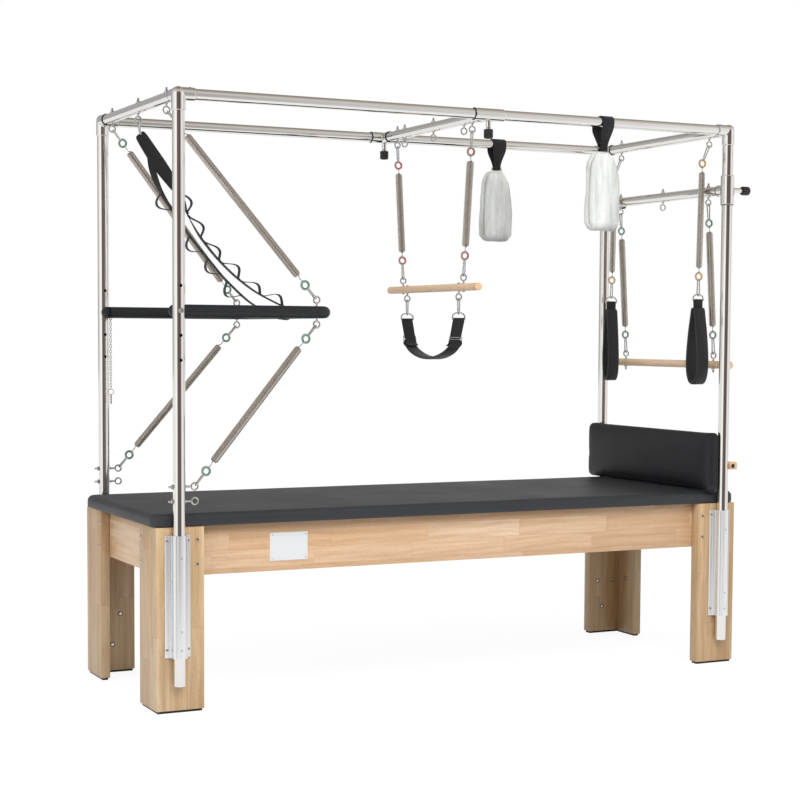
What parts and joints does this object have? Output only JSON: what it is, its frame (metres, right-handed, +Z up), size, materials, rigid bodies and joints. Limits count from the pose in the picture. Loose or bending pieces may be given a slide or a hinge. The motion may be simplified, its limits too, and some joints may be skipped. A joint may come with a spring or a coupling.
{
  "type": "pilates trapeze table",
  "caption": "Pilates trapeze table: padded bench on wooden legs under a polished tube frame with sprung bars, a trapeze, hand loops and fleece loops.",
  "frame": {"origin": "on the floor, under the middle of the bounding box", "axes": "+X along the bench to the roll-down end, +Y to the back, +Z up"},
  "size_m": [2.3922, 0.936, 2.095],
  "materials": {
    "polished_steel": "polished stainless tube",
    "spring_steel": "bright drawn wire",
    "socket_aluminium": "satin extrusion",
    "light_wood": "satin lacquer",
    "black_vinyl": "matt grained",
    "black_plastic": "moulded",
    "foot_rubber": "matt",
    "black_webbing": "woven and padded",
    "white_fleece": "curly pile",
    "dark_coating": "matt powder coat"
  },
  "bodies": {
    "bench_and_frame": {"foot_pad_front_left": "foot_rubber", "leg_front_left": "light_wood", "post_socket_front_left": "socket_aluminium", "post_front_left": "polished_steel", "corner_fitting_front_left": "polished_steel", "foot_pad_back_left": "foot_rubber", "leg_back_left": "light_wood", "post_socket_back_left": "socket_aluminium", "post_back_left": "polished_steel", "corner_fitting_back_left": "polished_steel", "foot_pad_front_right": "foot_rubber", "leg_front_right": "light_wood", "post_socket_front_right": "socket_aluminium", "post_front_right": "polished_steel", "corner_fitting_front_right": "polished_steel", "foot_pad_back_right": "foot_rubber", "leg_back_right": "light_wood", "post_socket_back_right": "socket_aluminium", "post_back_right": "polished_steel", "corner_fitting_back_right": "polished_steel", "side_apron_front": "light_wood", "side_apron_back": "light_wood", "end_apron_left": "light_wood", "end_apron_right": "light_wood", "mat": "black_vinyl", "top_rail_front": "polished_steel", "top_rail_back": "polished_steel", "cross_bar_left": "polished_steel", "cross_bar_right": "polished_steel", "looped_strap": "black_webbing"},
    "bolster": {"bolster_pad": "black_vinyl", "bolster_batten": "light_wood"},
    "trapeze_carriage": {"trapeze_carriage": "polished_steel"},
    "carriage_knob_front": {"carriage_knob_front": "black_plastic"},
    "carriage_knob_back": {"carriage_knob_back": "black_plastic"},
    "trapeze_springs": {"trapeze_spring_front": "spring_steel", "trapeze_spring_back": "spring_steel"},
    "trapeze_bar": {"trapeze_bar": "light_wood"},
    "trapeze_sling": {"trapeze_sling": "black_webbing"},
    "roll_down_carriage": {"roll_down_carriage": "polished_steel"},
    "roll_down_knob_front": {"roll_down_knob_front": "black_plastic"},
    "roll_down_knob_back": {"roll_down_knob_back": "black_plastic"},
    "roll_down_springs": {"roll_down_spring_front": "spring_steel", "roll_down_spring_back": "spring_steel"},
    "roll_down_bar": {"roll_down_bar": "light_wood"},
    "push_through_bar": {"push_through_bar": "dark_coating"},
    "push_upper_springs": {"push_upper_spring_front": "spring_steel", "push_upper_spring_back": "spring_steel"},
    "push_upper_hooks": {"push_upper_hook_front": "spring_steel", "push_upper_hook_back": "spring_steel"},
    "push_lower_springs": {"push_lower_spring_front": "spring_steel", "push_lower_spring_back": "spring_steel"},
    "push_lower_hooks": {"push_lower_hook_front": "spring_steel", "push_lower_hook_back": "spring_steel"},
    "arm_spring_front": {"arm_spring_front": "spring_steel"},
    "arm_spring_back": {"arm_spring_back": "spring_steel"},
    "arm_loop_front": {"arm_loop_front": "black_webbing"},
    "arm_loop_back": {"arm_loop_back": "black_webbing"},
    "fleece_loop_front": {"fleece_loop_front": "white_fleece"},
    "fleece_loop_back": {"fleece_loop_back": "white_fleece"}
  },
  "joints": [
    {"name": "bolster_height", "type": "slide", "parent": "bench_and_frame", "child": "bolster", "axis": [0, 0, 1], "range_m": [0, 0.12]},
    {"name": "trapeze_travel", "type": "slide", "parent": "bench_and_frame", "child": "trapeze_carriage", "axis": [1, 0, 0], "range_m": [-0.5, 0.3]},
    {"name": "carriage_knob_front_turn", "type": "hinge", "parent": "trapeze_carriage", "child": "carriage_knob_front", "pos_m": [0.04785, -0.433, 2.013], "axis": [0, 0, 1], "range_deg": [0, 540]},
    {"name": "carriage_knob_back_turn", "type": "hinge", "parent": "trapeze_carriage", "child": "carriage_knob_back", "pos_m": [0.04785, 0.433, 2.013], "axis": [0, 0, 1], "range_deg": [0, 540]},
    {"name": "trapeze_swing", "type": "hinge", "parent": "trapeze_carriage", "child": "trapeze_springs", "pos_m": [0.04785, 0, 2.0195], "axis": [0, 1, 0], "range_deg": [-35, 35]},
    {"name": "trapeze_stretch", "type": "slide", "parent": "trapeze_springs", "child": "trapeze_bar", "axis": [0, 0, -1], "range_m": [0, 0.3], "stiffness_N_per_m": 800, "springref_m": -0.03, "deforming": ["trapeze_spring_front", "trapeze_spring_back"]},
    {"name": "sling_swing", "type": "hinge", "parent": "trapeze_bar", "child": "trapeze_sling", "pos_m": [0.04785, 0, 1.4145], "axis": [0, 1, 0], "range_deg": [-40, 40]},
    {"name": "roll_down_height", "type": "slide", "parent": "bench_and_frame", "child": "roll_down_carriage", "axis": [0, 0, 1], "range_m": [-0.1, 0.06]},
    {"name": "roll_down_knob_front_turn", "type": "hinge", "parent": "roll_down_carriage", "child": "roll_down_knob_front", "pos_m": [1.15815, -0.433, 1.835], "axis": [1, 0, 0], "range_deg": [0, 540]},
    {"name": "roll_down_knob_back_turn", "type": "hinge", "parent": "roll_down_carriage", "child": "roll_down_knob_back", "pos_m": [1.15815, 0.433, 1.835], "axis": [1, 0, 0], "range_deg": [0, 540]},
    {"name": "roll_down_swing", "type": "hinge", "parent": "roll_down_carriage", "child": "roll_down_springs", "pos_m": [1.09585, 0, 1.7945], "axis": [0, -1, 0], "range_deg": [0, 40]},
    {"name": "roll_down_stretch", "type": "slide", "parent": "roll_down_springs", "child": "roll_down_bar", "axis": [0.0609, 0, -0.9981], "range_m": [0, 0.3], "stiffness_N_per_m": 1400, "springref_m": -0.02, "deforming": ["roll_down_spring_front", "roll_down_spring_back"]},
    {"name": "arm_spring_front_swing", "type": "hinge", "parent": "bench_and_frame", "child": "arm_spring_front", "pos_m": [1.09585, -0.311, 2.0195], "axis": [0, 1, 0], "range_deg": [0, 40]},
    {"name": "arm_spring_front_stretch", "type": "slide", "parent": "arm_spring_front", "child": "arm_loop_front", "axis": [0, 0, -1], "range_m": [0, 0.17], "stiffness_N_per_m": 300, "springref_m": -0.03, "deforming": ["arm_spring_front"]},
    {"name": "arm_spring_back_swing", "type": "hinge", "parent": "bench_and_frame", "child": "arm_spring_back", "pos_m": [1.09585, 0.311, 2.0195], "axis": [0, 1, 0], "range_deg": [0, 40]},
    {"name": "arm_spring_back_stretch", "type": "slide", "parent": "arm_spring_back", "child": "arm_loop_back", "axis": [0, 0, -1], "range_m": [0, 0.17], "stiffness_N_per_m": 300, "springref_m": -0.03, "deforming": ["arm_spring_back"]},
    {"name": "fleece_loop_front_swing", "type": "hinge", "parent": "bench_and_frame", "child": "fleece_loop_front", "pos_m": [0.52985, -0.433, 2.06], "axis": [1, 0, 0], "range_deg": [-60, 60]},
    {"name": "fleece_loop_back_swing", "type": "hinge", "parent": "bench_and_frame", "child": "fleece_loop_back", "pos_m": [0.56285, 0.433, 2.06], "axis": [-1, 0, 0], "range_deg": [-60, 60]},
    {"name": "push_through_turn", "type": "hinge", "parent": "bench_and_frame", "child": "push_through_bar", "pos_m": [-1.11215, 0, 1.35], "axis": [0, -1, 0], "range_deg": [-25, 25], "stiffness_Nm_per_rad": 300, "springref_deg": 6.3, "deforming": ["looped_strap"]},
    {"name": "push_upper_swivel", "type": "hinge", "parent": "bench_and_frame", "child": "push_upper_springs", "pos_m": [-1.11215, 0, 2.0195], "axis": [0, -1, 0], "range_deg": [-10, 10]},
    {"name": "push_upper_stretch", "type": "slide", "parent": "push_upper_springs", "child": "push_upper_hooks", "axis": [0.634, 0, -0.7733], "range_m": [-0.2, 0.2], "deforming": ["push_upper_spring_front", "push_upper_spring_back", "push_upper_hook_front", "push_upper_hook_back"]},
    {"name": "push_lower_swivel", "type": "hinge", "parent": "bench_and_frame", "child": "push_lower_springs", "pos_m": [-1.05815, 0, 0.765], "axis": [0, -1, 0], "range_deg": [-12, 12]},
    {"name": "push_lower_stretch", "type": "slide", "parent": "push_lower_springs", "child": "push_lower_hooks", "axis": [0.6467, 0, 0.7627], "range_m": [-0.2, 0.2], "deforming": ["push_lower_spring_front", "push_lower_spring_back", "push_lower_hook_front", "push_lower_hook_back"]}
  ],
  "couplings": [
    {"joint": "push_upper_swivel", "follows": "push_through_turn", "ratio": 0.361},
    {"joint": "push_upper_stretch", "follows": "push_through_turn", "m_per_rad": -0.424},
    {"joint": "push_lower_swivel", "follows": "push_through_turn", "ratio": 0.422},
    {"joint": "push_lower_stretch", "follows": "push_through_turn", "m_per_rad": 0.4195}
  ]
}
